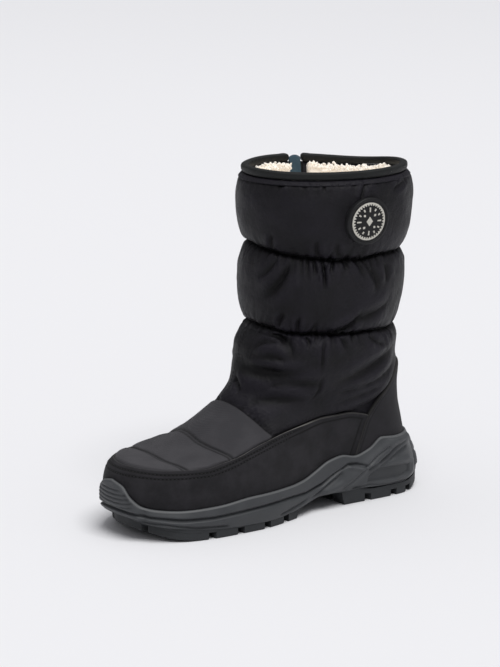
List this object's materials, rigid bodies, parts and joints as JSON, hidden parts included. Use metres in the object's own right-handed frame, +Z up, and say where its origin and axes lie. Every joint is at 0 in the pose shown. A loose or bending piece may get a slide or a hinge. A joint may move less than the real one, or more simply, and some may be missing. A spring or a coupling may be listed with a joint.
{
  "type": "winter boot",
  "caption": "Quilted winter boot for the left foot: padded shaft, fleece lining, side zip, panelled foot and a cupped lug sole.",
  "frame": {"origin": "on the floor, under the middle of the boot's bounding box", "axes": "+Z up, -Y to the toe, +X to the outer side of the foot"},
  "size_m": [0.1288, 0.2804, 0.264],
  "materials": {
    "tread": "matte moulded rubber",
    "cup": "satin moulded rubber",
    "felt": "felt",
    "nylon": "soft satin quilted nylon",
    "softshell": "matte softshell",
    "nubuck": "nubuck",
    "binding": "satin woven tape",
    "badge": "matte with pale print",
    "zip_tape": "woven tape",
    "zip_chain": "satin",
    "zip_metal": "satin"
  },
  "bodies": {
    "boot": {"outsole": "tread", "midsole": "cup", "insole": "felt", "upper": "nylon", "vamp": "softshell", "mudguard": "nubuck", "heel_counter": "nubuck", "collar_binding": "binding", "badge": "badge", "zip_tape": "zip_tape", "zip_chain": "zip_chain", "zip_slider": "zip_metal"},
    "pull": {"zip_pull": "zip_metal"}
  },
  "joints": [
    {"name": "pull_hinge", "type": "hinge", "parent": "boot", "child": "pull", "pos_m": [-0.0607, 0.06996, 0.238], "axis": [0, 1, 0], "range_deg": [0, 170]}
  ]
}
